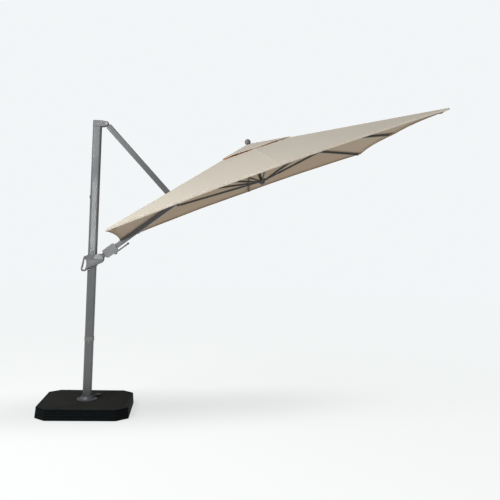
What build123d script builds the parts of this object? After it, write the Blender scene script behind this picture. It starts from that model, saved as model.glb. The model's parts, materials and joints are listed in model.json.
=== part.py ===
from build123d import *
from math import atan2, cos, degrees, hypot, radians, sin, sqrt, tan
import os

# Cantilever patio umbrella on a ballasted base, in millimetres.
# Origin: centre of the base on the ground. +Z is up, +X points from the mast towards the canopy.

# ---- driving dimensions -------------------------------------------------------------------
BASE_SIDE = 880.0           # square base, across its flats at the ground
BASE_HEIGHT = 110.0
BASE_CORNER = 110.0         # 45 degree corner cut
BASE_TAPER = 9.0            # how far each side leans in at the top
COVER_WALL = 4.0
FOOT_HEIGHT = 6.0
FOOT_RADIUS = 35.0
TRAY_WALL = 4.0
SLAB_SIDE = 340.0           # four ballast slabs
SLAB_THICKNESS = 70.0
CROSS_WIDTH = 60.0          # steel cross between the slabs
CROSS_HEIGHT = 60.0
SOCKET_RADIUS = 38.0

FLANGE_RADIUS = 100.0
FLANGE_PLATE = 8.0
FLANGE_CONE_TOP = 58.0
FLANGE_TOP = 141.0
FLANGE_BOLT_CIRCLE = 84.0
BOLT_RADIUS = 4.0

MAST_WIDTH = 88.0           # along X
MAST_DEPTH = 60.0           # along Y
MAST_CORNER = 20.0
MAST_WALL = 3.0
MAST_FOOT = 142.0
MAST_JOINT = 714.0
MAST_TOP = 2890.0
COLLAR_HEIGHT = 40.0
SPIGOT_RADIUS = 28.0
SPIGOT_RUN = 0.06           # running clearance of the swivel

PEDAL_AZIMUTH = 60.0
PEDAL_REACH = 215.0

STRUT_TOP = (90.0, 2872.0)  # X and Z of the strut's bolt in the mast head
BOOM_PIVOT = (65.0, 1515.0)  # X and Z of the boom's pin in the slider
BOOM_ELEVATION = 38.4
BOOM_LENGTH = 1845.0        # from its pin in the slider to its pin in the canopy hub
BOOM_TO_STRUT = 957.0
BOOM_WIDTH = 40.0           # along Y
BOOM_DEPTH = 50.0
BOOM_WALL = 2.5
BOOM_CORNER = 8.0
STRUT_DEPTH = 57.0
PIN_RUN = 0.06              # radial running clearance of the hinge pins

SLIDER_LOW = 1442.0
SLIDER_HIGH = 1549.0
LINER_GAP = 0.8             # between mast and slider liner
LINER_WALL = 2.0
SLEEVE_WALL = 5.0
COVER_IN = 46.0             # the slider's two side covers stand from here ...
COVER_OUT = 52.0            # ... to here, on both sides
BOSS_RADIUS = 48.0
LEVER_PIVOT = (-64.0, 1520.0)  # X and Z of the release lever's trunnions in the grip
LEVER_PIN = 2.5
FORK_IN = 39.0
FORK_OUT = 45.0

CRANK_ALONG = 165.0         # crank axis in the boom's own frame
CRANK_BELOW = -52.0
CRANK_REACH = 162.0
CRANK_BAR = 16.0             # width of the crank's flat arm

CANOPY_SIDE = 3000.0
CANOPY_TILT = 21.95
HUB_OFFSET = 45.0           # from the boom's end pin to the canopy axis
HUB_PIN_LEVEL = 355.0       # levels are measured along the canopy axis, from the plane of the corners
RIB_PIN_LEVEL = 385.0
RIB_PIN_RADIUS = 55.0
LOW_HUB_LEVEL = 20.0
LOW_HUB_RADIUS = 55.0
RIB_WIDTH = 15.0
RIB_DEPTH = 24.0
RIB_WALL = 1.6
RIB_TONGUE = 6.0
RIB_TIP = 26.0               # length of the moulded tip
RIB_SHORT = 31.0             # how far the tip ends inside the cloth's edge, across the canopy
RIB_BRACKET_DROP = 20.0     # rib centre line to stretcher pin
BOOM_BRACKET_DROP = 36.0
STRETCHER_AT = 900.0        # along a middle rib, from its hinge
STRETCHER_WIDTH = 12.0
STRETCHER_DEPTH = 20.0
STRETCHER_TONGUE = 4.0
STRETCHER_INNER = 155.0      # length of the flat tongue at the lower hub
FOLD_ANGLE = 64.0           # how far every rib folds down

FABRIC = 1.4
FABRIC_APEX = 414.0
MIDDLE_RISE = 31.0          # middle of each edge above the plane of the corners
BOOM_EDGE = (1555.0, -60.0)  # where the cloth meets the boom: radius and level
VENT_HOLE = 300.0           # half side of the opening under the vent cap
VENT_CAP = 360.0            # half side of the cap
CAP_APEX = 424.0
CAP_CORNER_LEVEL = 318.0
CAP_MIDDLE_LEVEL = 356.0
FINIAL_RADIUS = 31.0
FINIAL_LEVEL = 444.0

RIB_AZIMUTHS = {
    "right": 0.0,
    "rear_right": 45.0,
    "rear": 90.0,
    "rear_left": 135.0,
    "front_left": 225.0,
    "front": 270.0,
    "front_right": 315.0,
}
BOOM_AZIMUTH = 180.0

# ---- frames -------------------------------------------------------------------------------
BOOM = Pos(BOOM_PIVOT[0], 0, BOOM_PIVOT[1]) * Rot(0, -BOOM_ELEVATION, 0)
tip_x = BOOM_PIVOT[0] + BOOM_LENGTH * cos(radians(BOOM_ELEVATION))
tip_z = BOOM_PIVOT[1] + BOOM_LENGTH * sin(radians(BOOM_ELEVATION))
tilt_cos = cos(radians(CANOPY_TILT))
tilt_sin = sin(radians(CANOPY_TILT))
centre_x = tip_x + HUB_OFFSET * tilt_cos + HUB_PIN_LEVEL * tilt_sin
centre_z = tip_z + HUB_OFFSET * tilt_sin - HUB_PIN_LEVEL * tilt_cos
CANOPY = Pos(centre_x, 0, centre_z) * Rot(0, -CANOPY_TILT, 0)
strut_foot_x = BOOM_PIVOT[0] + BOOM_TO_STRUT * cos(radians(BOOM_ELEVATION))
strut_foot_z = BOOM_PIVOT[1] + BOOM_TO_STRUT * sin(radians(BOOM_ELEVATION))
STRUT_LENGTH = hypot(strut_foot_x - STRUT_TOP[0], strut_foot_z - STRUT_TOP[1])
STRUT_DROP = degrees(atan2(STRUT_TOP[1] - strut_foot_z, strut_foot_x - STRUT_TOP[0]))
STRUT = Pos(STRUT_TOP[0], 0, STRUT_TOP[1]) * Rot(0, STRUT_DROP, 0)

NODES = {}


def node(name, *shapes):
    """Keeps a named piece: one solid, or several identical ones."""
    parts = [s for shape in shapes for s in shape.solids()]
    NODES[name] = parts[0] if len(parts) == 1 else Compound(children=parts)


def box(x0, x1, y0, y1, z0, z1):
    """A block given by its limits."""
    return Pos((x0 + x1) / 2, (y0 + y1) / 2, (z0 + z1) / 2) * Box(x1 - x0, y1 - y0, z1 - z0)


def rod(radius, z0, z1, x=0.0, y=0.0):
    """A round bar along Z."""
    return Pos(x, y, (z0 + z1) / 2) * Cylinder(radius, z1 - z0)


def cross_rod(radius, y0, y1, x=0.0, z=0.0):
    """A round bar along Y."""
    return Pos(x, (y0 + y1) / 2, z) * Rot(90, 0, 0) * Cylinder(radius, y1 - y0)


def mast_section(width, depth, corner, z0, z1):
    """A bar of the mast's rounded section."""
    return extrude(Pos(0, 0, z0) * RectangleRounded(width, depth, corner), z1 - z0)


def beam(x0, x1, width, depth, corner, wall=0.0):
    """A rounded bar along X, hollow when it has a wall."""
    plane = Plane(origin=(x0, 0, 0), x_dir=(0, 1, 0), z_dir=(1, 0, 0))
    bar = extrude(plane * RectangleRounded(width, depth, corner), x1 - x0)
    if wall:
        inner = RectangleRounded(width - 2 * wall, depth - 2 * wall, max(corner - wall, 0.5))
        bar -= extrude(plane * inner, x1 - x0)
    return bar


def side_plate(outline, y0, y1):
    """A plate in the XZ plane, from y0 to y1."""
    plane = Plane(origin=(0, y0, 0), x_dir=(1, 0, 0), z_dir=(0, -1, 0))
    return extrude(plane * outline, -(y1 - y0))


def outline(*points):
    return make_face(Polyline(*points, close=True))


def both_sides(shape):
    return shape + mirror(shape, about=Plane.XZ)


# ---- base ---------------------------------------------------------------------------------
def base_outline(inset):
    """The square with cut corners, moved in by inset on every side."""
    half = BASE_SIDE / 2 - inset
    cut = BASE_CORNER - inset * (2 - sqrt(2))
    return chamfer(Rectangle(2 * half, 2 * half).vertices(), cut)


def base_block(inset, z0, z1):
    """A solid between two heights inside the base's tapered sides."""
    def at(z):
        lean = BASE_TAPER * (z - FOOT_HEIGHT / 2) / (BASE_HEIGHT - FOOT_HEIGHT / 2)
        return Pos(0, 0, z) * base_outline(inset + lean)
    return loft([at(z0), at(z1)])


def make_base():
    skirt = FOOT_HEIGHT / 2
    cover = base_block(0, skirt, BASE_HEIGHT)
    cover -= base_block(COVER_WALL, skirt, BASE_HEIGHT - COVER_WALL)
    cover -= rod(SOCKET_RADIUS + 0.5, 0, BASE_HEIGHT + 1)
    for x, y in flange_bolt_places():
        cover -= rod(BOLT_RADIUS, 0, BASE_HEIGHT + 1, x, y)
    node("base_cover", cover)

    tray_top = FOOT_HEIGHT + TRAY_WALL
    tray = extrude(Pos(0, 0, FOOT_HEIGHT) * base_outline(COVER_WALL + 1.5), TRAY_WALL)
    node("base_tray", tray)

    slab_centre = CROSS_WIDTH / 2 + 3 + SLAB_SIDE / 2
    slabs = []
    for sx in (-1, 1):
        for sy in (-1, 1):
            slab = box(-SLAB_SIDE / 2, SLAB_SIDE / 2, -SLAB_SIDE / 2, SLAB_SIDE / 2,
                       tray_top, tray_top + SLAB_THICKNESS)
            slab = Pos(sx * slab_centre, sy * slab_centre, 0) * slab
            corner = box(-80, 80, -80, 80, 0, 200)
            reach = slab_centre + SLAB_SIDE / 2
            slabs.append(slab - Pos(sx * reach, sy * reach, 0) * Rot(0, 0, 45) * corner)
    node("ballast_slabs", *slabs)

    arm = BASE_SIDE / 2 - 20
    cross = box(-arm, arm, -CROSS_WIDTH / 2, CROSS_WIDTH / 2, tray_top, tray_top + CROSS_HEIGHT)
    cross += box(-CROSS_WIDTH / 2, CROSS_WIDTH / 2, -arm, arm, tray_top, tray_top + CROSS_HEIGHT)
    cross -= rod(SOCKET_RADIUS, tray_top + 10, BASE_HEIGHT)
    node("cross_frame", cross)

    feet = [rod(FOOT_RADIUS, 0, FOOT_HEIGHT)]
    at = BASE_SIDE / 2 - 110
    for sx in (-1, 1):
        for sy in (-1, 1):
            feet.append(rod(FOOT_RADIUS, 0, FOOT_HEIGHT, sx * at, sy * at))
    node("base_feet", *feet)


def flange_bolt_places():
    """Four bolts on a circle, turned to leave room for the pedal."""
    return [(FLANGE_BOLT_CIRCLE * cos(radians(a)), FLANGE_BOLT_CIRCLE * sin(radians(a)))
            for a in (15, 105, 195, 285)]


def make_flange():
    bush_radius = SPIGOT_RADIUS + 5
    plate_top = BASE_HEIGHT + FLANGE_PLATE
    flange = rod(FLANGE_RADIUS, BASE_HEIGHT, plate_top)
    cone = Pos(0, 0, (plate_top + FLANGE_TOP) / 2) * Cone(72, FLANGE_CONE_TOP, FLANGE_TOP - plate_top)
    flange += cone
    flange += rod(SOCKET_RADIUS, 20, BASE_HEIGHT)
    flange -= rod(bush_radius, 20, FLANGE_TOP)
    for x, y in flange_bolt_places():
        flange -= rod(BOLT_RADIUS, BASE_HEIGHT, plate_top, x, y)
    turn = Rot(0, 0, PEDAL_AZIMUTH)
    pivot_x = 76.0
    pivot_z = plate_top + 7
    flange -= turn * box(60, 130, -17, 17, plate_top, 150)
    lugs = both_sides(box(66, 86, 12, 17, plate_top, plate_top + 13))
    flange += turn * (lugs + cross_rod(3, -17, 17, pivot_x, pivot_z))
    node("foot_flange", flange)

    bolts = []
    for x, y in flange_bolt_places():
        shank = rod(BOLT_RADIUS, 80, plate_top, x, y)
        head = extrude(Pos(x, y, plate_top) * RegularPolygon(7.5, 6), 5)
        nut = extrude(Pos(x, y, 90) * RegularPolygon(7.5, 6), 6)
        bolts.append(shank + head + nut)
    node("flange_bolts", *bolts)

    bush = rod(bush_radius, 20, FLANGE_TOP) - rod(SPIGOT_RADIUS + SPIGOT_RUN, 24, FLANGE_TOP)
    node("swivel_bush", bush)

    lever = box(64, PEDAL_REACH - 40, -9, 9, pivot_z - 3.5, pivot_z + 3.5)
    lever += cross_rod(7, -9, 9, pivot_x, pivot_z)
    pad = Pos(PEDAL_REACH - 28, 0, pivot_z) * Cylinder(28, 8)
    lever += pad
    lever -= cross_rod(3 + PIN_RUN, -20, 20, pivot_x, pivot_z)
    node("foot_pedal", turn * lever)
    return pivot_x, pivot_z


# ---- mast ---------------------------------------------------------------------------------
def mast_tube(z0, z1):
    inner = mast_section(MAST_WIDTH - 2 * MAST_WALL, MAST_DEPTH - 2 * MAST_WALL,
                         MAST_CORNER - MAST_WALL, z0, z1)
    return mast_section(MAST_WIDTH, MAST_DEPTH, MAST_CORNER, z0, z1) - inner


def make_mast():
    fit = 2 * MAST_WALL
    node("lower_mast", mast_tube(MAST_FOOT, MAST_JOINT))
    node("upper_mast", mast_tube(MAST_JOINT, MAST_TOP))

    spigot = rod(SPIGOT_RADIUS, 26, MAST_FOOT)
    plug = mast_section(MAST_WIDTH - fit, MAST_DEPTH - fit, MAST_CORNER - MAST_WALL,
                        MAST_FOOT, MAST_FOOT + 70)
    node("swivel_spigot", spigot + plug)

    sleeve = mast_section(MAST_WIDTH - fit, MAST_DEPTH - fit, MAST_CORNER - MAST_WALL,
                          MAST_JOINT - 120, MAST_JOINT + 120)
    sleeve -= mast_section(MAST_WIDTH - 2 * fit, MAST_DEPTH - 2 * fit, MAST_CORNER - fit,
                           MAST_JOINT - 120, MAST_JOINT + 120)
    node("joint_sleeve", sleeve)

    collar = mast_section(MAST_WIDTH + 6, MAST_DEPTH + 6, MAST_CORNER + 3,
                          MAST_JOINT - COLLAR_HEIGHT / 2, MAST_JOINT + COLLAR_HEIGHT / 2)
    collar -= mast_section(MAST_WIDTH, MAST_DEPTH, MAST_CORNER, 0, MAST_TOP)
    tab = box(-12, 12, -MAST_DEPTH / 2 - 3, -MAST_DEPTH / 2, MAST_JOINT - 50, MAST_JOINT)
    screw = cross_rod(7, -MAST_DEPTH / 2 - 8, -MAST_DEPTH / 2, 0, MAST_JOINT - 38)
    node("joint_collar", collar + tab + screw)

    head_low = MAST_TOP - 49
    cheek = outline((-MAST_WIDTH / 2 + 16, head_low), (MAST_WIDTH / 2, head_low), (78, head_low + 4),
                    (108, STRUT_TOP[1] - 12), (108, MAST_TOP + 3), (MAST_WIDTH / 2, MAST_TOP + 12),
                    (-MAST_WIDTH / 2 + 16, MAST_TOP + 12))
    cheek = side_plate(cheek, MAST_DEPTH / 2, MAST_DEPTH / 2 + 5)
    cheek -= cross_rod(7, 0, 60, STRUT_TOP[0], STRUT_TOP[1])
    node("head_cheeks", cheek, mirror(cheek, about=Plane.XZ))

    cap = mast_section(MAST_WIDTH, MAST_DEPTH, MAST_CORNER, MAST_TOP, MAST_TOP + 12)
    cap += mast_section(MAST_WIDTH - fit, MAST_DEPTH - fit, MAST_CORNER - MAST_WALL,
                        MAST_TOP - 45, MAST_TOP)
    node("head_cap", cap)

    bolts = []
    for x, z in ((11.0, MAST_TOP - 28), (40.0, MAST_TOP - 8)):
        for side in (-1, 1):
            y0, y1 = sorted((side * (MAST_DEPTH / 2 + 5), side * (MAST_DEPTH / 2 + 9)))
            bolts.append(cross_rod(7, y0, y1, x, z))
    node("head_bolts", *bolts)

    reach = MAST_DEPTH / 2 + 5
    pin = cross_rod(7, -reach, reach, STRUT_TOP[0], STRUT_TOP[1])
    pin += cross_rod(11, reach, reach + 5, STRUT_TOP[0], STRUT_TOP[1])
    pin += cross_rod(11, -reach - 5, -reach, STRUT_TOP[0], STRUT_TOP[1])
    node("strut_bolt", pin)


# ---- strut --------------------------------------------------------------------------------
def make_strut():
    """Drawn along its own X, from the bolt in the mast head to the fork on the boom."""
    fork_root = STRUT_LENGTH - 92
    tube = beam(30, fork_root, BOOM_WIDTH, STRUT_DEPTH, BOOM_CORNER, BOOM_WALL)
    node("strut_tube", STRUT * tube)

    eye = cross_rod(18, -MAST_DEPTH / 2 + 0.6, MAST_DEPTH / 2 - 0.6)
    eye += box(0, 30, -BOOM_WIDTH / 2, BOOM_WIDTH / 2, -18, 18)
    inner = (BOOM_WIDTH - 2 * BOOM_WALL, STRUT_DEPTH - 2 * BOOM_WALL)
    eye += beam(30, 90, inner[0], inner[1], BOOM_CORNER - BOOM_WALL)
    eye -= cross_rod(7 + PIN_RUN, -50, 50)
    node("strut_top_eye", STRUT * eye)

    fork = beam(fork_root - 60, fork_root, inner[0], inner[1], BOOM_CORNER - BOOM_WALL)
    fork += box(fork_root, fork_root + 14, -27, 27, -24, 24)
    ear = box(fork_root, STRUT_LENGTH, 21.2, 27, -24, 24) + cross_rod(24, 21.2, 27, STRUT_LENGTH, 0)
    fork += both_sides(ear)
    node("strut_fork", STRUT * fork)

    head = cross_rod(13, 27, 32, STRUT_LENGTH, 0)
    node("strut_fork_bolts", STRUT * head, STRUT * mirror(head, about=Plane.XZ))


# ---- slider -------------------------------------------------------------------------------
def make_slider():
    gap = 2 * LINER_GAP
    bore = (MAST_WIDTH + gap, MAST_DEPTH + gap, MAST_CORNER + LINER_GAP)
    seat = (bore[0] + 2 * LINER_WALL, bore[1] + 2 * LINER_WALL, bore[2] + LINER_WALL)
    skin = (seat[0] + 2 * SLEEVE_WALL, seat[1] + 2 * SLEEVE_WALL, seat[2] + SLEEVE_WALL)
    liner = mast_section(*seat, SLIDER_LOW + 2, SLIDER_HIGH - 2)
    liner -= mast_section(*bore, SLIDER_LOW + 2, SLIDER_HIGH - 2)
    node("slider_liner", liner)

    body = mast_section(*skin, SLIDER_LOW, SLIDER_HIGH)
    pivot_x, pivot_z = BOOM_PIVOT
    body += cross_rod(18, -FORK_IN + 1, FORK_IN - 1, pivot_x, pivot_z)
    body += box(40, pivot_x, -FORK_IN + 1, FORK_IN - 1, pivot_z - 18, pivot_z + 18)
    body -= mast_section(*seat, SLIDER_LOW - 1, SLIDER_HIGH + 1)
    body -= cross_rod(8, -60, 60, pivot_x, pivot_z)
    node("slider_body", body)

    reach = COVER_OUT
    pin = cross_rod(8, -COVER_IN, COVER_IN, pivot_x, pivot_z)
    node("boom_pin", pin)

    right = pivot_x + BOSS_RADIUS
    cover = make_face(
        Polyline((-58, 1500), (-58, 1538), (-46, 1549), (pivot_x - 20, pivot_z + 43.6))
        + ThreePointArc((pivot_x - 20, pivot_z + 43.6), (right, pivot_z),
                        (pivot_x + 26, pivot_z - 40.3))
        + Spline((pivot_x + 26, pivot_z - 40.3), (44, 1452), (0, 1434), (-58, 1397))
        + Line((-58, 1397), (-58, 1420))
        + Spline((-58, 1420), (-52, 1450), (-58, 1500))
    )
    spacer_low = skin[1] / 2
    shell = side_plate(cover, COVER_IN, reach)
    spacer = side_plate(cover, spacer_low, COVER_IN) & box(-80, 18, 0, 80, 1300, 1600)
    node("slider_covers", shell + spacer, mirror(shell + spacer, about=Plane.XZ))

    half = 11.0
    frame = make_face(
        Polyline((-57.5, 1500), (-57.5, 1536), (-70, 1541), (-86, 1530), (-110, 1404), (-104, 1390),
                 (-92, 1384), (-68, 1384), (-57.5, 1392), (-57.5, 1412), (-70, 1400), (-90, 1400),
                 (-97, 1408), (-78, 1502), (-68, 1502), (-57.5, 1500))
    )
    grip = side_plate(frame, -half, half)
    tab = box(-57.5, -skin[0] / 2, -half, half, 1504, 1536)
    bridge = box(-64, -58, -COVER_OUT, COVER_OUT, 1394, 1414)
    node("slider_grip", grip + tab + bridge - lever_slot())

    trigger = outline((-66, 1526), (-80, 1517), (-85.2, 1506), (-97.2, 1424), (-95, 1420), (-90.5, 1420),
                      (-89.2, 1424), (-77.8, 1500), (-72, 1507), (-60, 1514))
    lever_x, lever_z = LEVER_PIVOT
    lever = side_plate(trigger, -4, 4) + cross_rod(6.5, -4, 4, lever_x, lever_z)
    lever += cross_rod(LEVER_PIN, -half, half, lever_x, lever_z)
    node("release_lever", lever)


def lever_slot():
    """Room in the grip for the release lever, its travel and its trunnions."""
    room = outline((-54, 1529), (-72, 1529), (-82, 1523), (-84.7, 1514), (-103, 1417), (-88, 1417),
                   (-70, 1499), (-54, 1499))
    lever_x, lever_z = LEVER_PIVOT
    return side_plate(room, -4.8, 4.8) + cross_rod(LEVER_PIN + PIN_RUN, -20, 20, lever_x, lever_z)


# ---- boom ---------------------------------------------------------------------------------
def make_boom():
    """Drawn along its own X, from its pin in the slider to its pin in the canopy hub."""
    tube_start, tube_end = 66.0, BOOM_LENGTH - 36
    tube = beam(tube_start, tube_end, BOOM_WIDTH, BOOM_DEPTH, BOOM_CORNER, BOOM_WALL)
    tube += cross_rod(9, -BOOM_WIDTH / 2, BOOM_WIDTH / 2, BOOM_TO_STRUT, 0)
    node("boom_tube", BOOM * tube)

    inner = (BOOM_WIDTH - 2 * BOOM_WALL, BOOM_DEPTH - 2 * BOOM_WALL)
    arm = box(0, 66, FORK_IN + 0.5, FORK_OUT - 0.5, -22, 22)
    arm += cross_rod(28, FORK_IN + 0.5, FORK_OUT - 0.5)
    foot = both_sides(arm)
    foot += box(54, 66, -FORK_OUT + 0.5, FORK_OUT - 0.5, -22, 22)
    foot += beam(66, 120, inner[0], inner[1], BOOM_CORNER - BOOM_WALL)
    foot -= cross_rod(8 + PIN_RUN, -60, 60)
    node("boom_foot", BOOM * foot)

    tip = beam(tube_end - 60, tube_end, inner[0], inner[1], BOOM_CORNER - BOOM_WALL)
    tip += box(tube_end, tube_end + 10, -BOOM_WIDTH / 2, BOOM_WIDTH / 2, -22, 22)
    tip += box(tube_end, BOOM_LENGTH, -10, 10, -13, 13) + cross_rod(13, -10, 10, BOOM_LENGTH, 0)
    tip -= cross_rod(5 + PIN_RUN, -20, 20, BOOM_LENGTH, 0)
    node("boom_tip", BOOM * tip)

    half_y = BOOM_WIDTH / 2 + 14
    shell = Pos(137, 0, -1) * Box(138, 2 * half_y, 92)
    shell = fillet(shell.edges().filter_by(Axis.Y), 16)
    shell += cross_rod(15, -half_y, half_y, CRANK_ALONG, CRANK_BELOW)
    shell += box(CRANK_ALONG - 15, CRANK_ALONG + 15, -half_y, half_y, CRANK_BELOW, -30)
    shell = shell & box(60, 220, -half_y, half_y, -80, 60)
    shell -= beam(60, 220, BOOM_WIDTH, BOOM_DEPTH, BOOM_CORNER)
    shell -= cross_rod(11.5, -26, 26, CRANK_ALONG, CRANK_BELOW)
    shell -= cross_rod(5.2, -60, 60, CRANK_ALONG, CRANK_BELOW)
    near = shell & box(0, 300, -80, -0.1, -100, 100)
    far = shell & box(0, 300, 0.1, 80, -100, 100)
    node("crank_housing_front", BOOM * near)
    node("crank_housing_rear", BOOM * far)

    at = BOOM_LENGTH - boom_stretcher["along"]
    plates = both_sides(box(at - 12, at + 12, 2.7, 6, -BOOM_BRACKET_DROP - 6, -BOOM_DEPTH / 2))
    plates += cross_rod(2.5, -6, 6, at, -BOOM_BRACKET_DROP)
    plates += box(at - 22, at + 22, -9, 9, -BOOM_DEPTH / 2 - 3, -BOOM_DEPTH / 2)
    node("boom_bracket", BOOM * plates)


def make_crank():
    half_y = BOOM_WIDTH / 2 + 14
    arm_y = -63.0
    axis = (CRANK_ALONG, CRANK_BELOW)
    drum = cross_rod(7.5, -22, 22, *axis)
    drum += both_sides(cross_rod(10.8, 20, 23, *axis))
    drum -= cross_rod(5, -30, 30, *axis)
    node("winch_drum", BOOM * drum)
    shaft = cross_rod(5, arm_y, half_y - 2, *axis)
    node("crank_shaft", BOOM * shaft)
    end = CRANK_ALONG + CRANK_REACH
    half_bar = CRANK_BAR / 2
    arm = box(axis[0], end, arm_y, arm_y + 7, axis[1] - half_bar, axis[1] + half_bar)
    arm += cross_rod(11, arm_y, arm_y + 7, *axis) + cross_rod(half_bar, arm_y, arm_y + 7, end, axis[1])
    arm += cross_rod(9, arm_y + 7, -half_y - 0.8, *axis)
    arm -= cross_rod(5, arm_y, 0, *axis)
    arm += cross_rod(3.5, arm_y - 44, arm_y, end, axis[1])
    node("crank_arm", BOOM * arm)
    knob = cross_rod(10, arm_y - 44, arm_y - 1, end, axis[1])
    knob = fillet(knob.edges(), 3)
    knob -= cross_rod(3.5 + PIN_RUN, arm_y - 50, arm_y, end, axis[1])
    node("crank_knob", BOOM * knob)


# ---- canopy mechanism ----------------------------------------------------------------------
def rib_shape(azimuth):
    """Length and slope of a rib, from the place of its tip."""
    corner = azimuth % 90 != 0
    reach = (CANOPY_SIDE / 2 - 14) * (sqrt(2) if corner else 1.0)
    level = (0.0 if corner else MIDDLE_RISE) - 14
    run = reach - RIB_PIN_RADIUS
    fall = RIB_PIN_LEVEL - level
    short = RIB_SHORT * (sqrt(2) if corner else 1.0)
    return hypot(run, fall) - short, degrees(atan2(fall, run))


def arm_point(hinge, slope, along, drop):
    """A point on an arm that leaves hinge outwards and falls at slope: radius and level."""
    fall = radians(slope)
    return (hinge[0] + along * cos(fall) - drop * sin(fall),
            hinge[1] - along * sin(fall) - drop * cos(fall))


def hub_travel():
    """How far the lower hub slides down while the middle ribs fold."""
    slope = rib_shape(0)[1]
    hinge = (RIB_PIN_RADIUS, RIB_PIN_LEVEL)
    pin = arm_point(hinge, slope, STRETCHER_AT, RIB_BRACKET_DROP)
    length = hypot(pin[0] - LOW_HUB_RADIUS, pin[1] - LOW_HUB_LEVEL)
    folded = arm_point(hinge, slope + FOLD_ANGLE, STRETCHER_AT, RIB_BRACKET_DROP)
    closed = folded[1] - sqrt(length ** 2 - (folded[0] - LOW_HUB_RADIUS) ** 2)
    return LOW_HUB_LEVEL - closed


def stretcher(hinge, slope, drop):
    """Pin place, length and angles of a stretcher that meets the lower hub open and folded."""
    ends = []
    for turn, level in ((0, LOW_HUB_LEVEL), (FOLD_ANGLE, LOW_HUB_LEVEL - hub_travel())):
        base = arm_point(hinge, slope + turn, 0, drop)
        fall = radians(slope + turn)
        gap = (base[0] - LOW_HUB_RADIUS, base[1] - level)
        ends.append((gap, (cos(fall), -sin(fall))))
    (gap0, dir0), (gap1, dir1) = ends
    along = (hypot(*gap0) ** 2 - hypot(*gap1) ** 2) / (
        2 * (dir1[0] * gap1[0] + dir1[1] * gap1[1] - dir0[0] * gap0[0] - dir0[1] * gap0[1]))
    angles = []
    for turn, level in ((0, LOW_HUB_LEVEL), (FOLD_ANGLE, LOW_HUB_LEVEL - hub_travel())):
        pin = arm_point(hinge, slope + turn, along, drop)
        rise = level - pin[1]
        angles.append(degrees(atan2(-rise, LOW_HUB_RADIUS - pin[0])) % 360)
        if turn == 0:
            start = pin
            length = hypot(LOW_HUB_RADIUS - pin[0], rise)
    turn_on_arm = angles[1] - angles[0] - FOLD_ANGLE
    return {"along": along, "pin": start, "length": length, "angle": angles[0],
            "ratio": turn_on_arm / FOLD_ANGLE}


BOOM_SLOPE = BOOM_ELEVATION - CANOPY_TILT
boom_stretcher = stretcher((HUB_OFFSET, HUB_PIN_LEVEL), BOOM_SLOPE, BOOM_BRACKET_DROP)


def rib_stretcher(azimuth):
    return stretcher((RIB_PIN_RADIUS, RIB_PIN_LEVEL), rib_shape(azimuth)[1], RIB_BRACKET_DROP)


def make_hubs():
    low, high = RIB_PIN_LEVEL - 8, RIB_PIN_LEVEL + 16
    disc = rod(64, low, high)
    disc += rod(24, HUB_PIN_LEVEL - 10, low)
    pins = []
    for azimuth in RIB_AZIMUTHS.values():
        turn = Rot(0, 0, azimuth)
        slot = box(45, 80, -RIB_TONGUE / 2 - 0.6, RIB_TONGUE / 2 + 0.6, low - 5, RIB_PIN_LEVEL + 10)
        pin = cross_rod(3, -11, 11, RIB_PIN_RADIUS, RIB_PIN_LEVEL)
        disc -= turn * slot
        disc -= turn * pin
        pins.append(CANOPY * turn * pin)
    cheek = side_plate(outline((-58, high - 10), (-24, high - 10), (-24, HUB_PIN_LEVEL + 12),
                               (-32, HUB_PIN_LEVEL), (-58, HUB_PIN_LEVEL)), 11, 18)
    cheek += cross_rod(13.5, 11, 18, -HUB_OFFSET, HUB_PIN_LEVEL)
    disc -= box(-80, -26, -11, 11, low - 30, high - 8)
    disc += both_sides(cheek)
    disc -= rod(16.6, 300, RIB_PIN_LEVEL + 5)
    pivot = cross_rod(5, -18, 18, -HUB_OFFSET, HUB_PIN_LEVEL)
    disc -= pivot
    disc -= rod(6, low, high + 5)
    pins.append(CANOPY * pivot)
    node("top_hub", CANOPY * disc)
    node("hub_pins", *pins)

    stem = rod(6, RIB_PIN_LEVEL + 6, FINIAL_LEVEL) + rod(20, high, high + 4)
    ball = Pos(0, 0, FINIAL_LEVEL) * Sphere(FINIAL_RADIUS)
    node("finial", CANOPY * (stem + ball))

    ring = rod(64, LOW_HUB_LEVEL - 9, LOW_HUB_LEVEL + 9)
    ring += rod(38, LOW_HUB_LEVEL - 12, LOW_HUB_LEVEL + 16)
    for k in range(8):
        ring -= Rot(0, 0, 45 * k) * box(34, 80, -3, 3, LOW_HUB_LEVEL - 20, LOW_HUB_LEVEL + 20)
    ring -= rod(16, LOW_HUB_LEVEL - 20, LOW_HUB_LEVEL + 20)
    dome = Pos(0, 0, LOW_HUB_LEVEL - 12) * Sphere(30)
    dome = dome & rod(30, LOW_HUB_LEVEL - 50, LOW_HUB_LEVEL - 12)
    node("lower_hub", CANOPY * (ring + dome))
    node("centre_tube", CANOPY * (rod(16, LOW_HUB_LEVEL - 12, RIB_PIN_LEVEL)
                                  - rod(13.5, LOW_HUB_LEVEL - 12, RIB_PIN_LEVEL)))


def make_stretcher(name, azimuth, facts):
    """A tube with a flat tongue at each end, from its arm's pin to the lower hub."""
    length = facts["length"]
    end = length - STRETCHER_INNER + 18
    tube = beam(26, end, STRETCHER_WIDTH, STRETCHER_DEPTH, 3)
    tube -= beam(26, end, STRETCHER_WIDTH - 3, STRETCHER_DEPTH - 3, 1.5)
    half = STRETCHER_TONGUE / 2
    link = tube
    for x0, x1, eye in ((0, 40, 0), (end - 18, length, length)):
        tongue = box(x0, x1, -half, half, -7, 7) + cross_rod(7, -half, half, eye, 0)
        link += tongue
    link += box(26, 40, -5, 5, -9, 9) + box(end - 18, end, -5, 5, -9, 9)
    link -= cross_rod(2.5 + PIN_RUN, -10, 10)
    link -= cross_rod(3, -10, 10, length, 0)
    place = Rot(0, 0, azimuth) * Pos(facts["pin"][0], 0, facts["pin"][1])
    node(name, CANOPY * place * Rot(0, facts["angle"], 0) * link)


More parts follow.
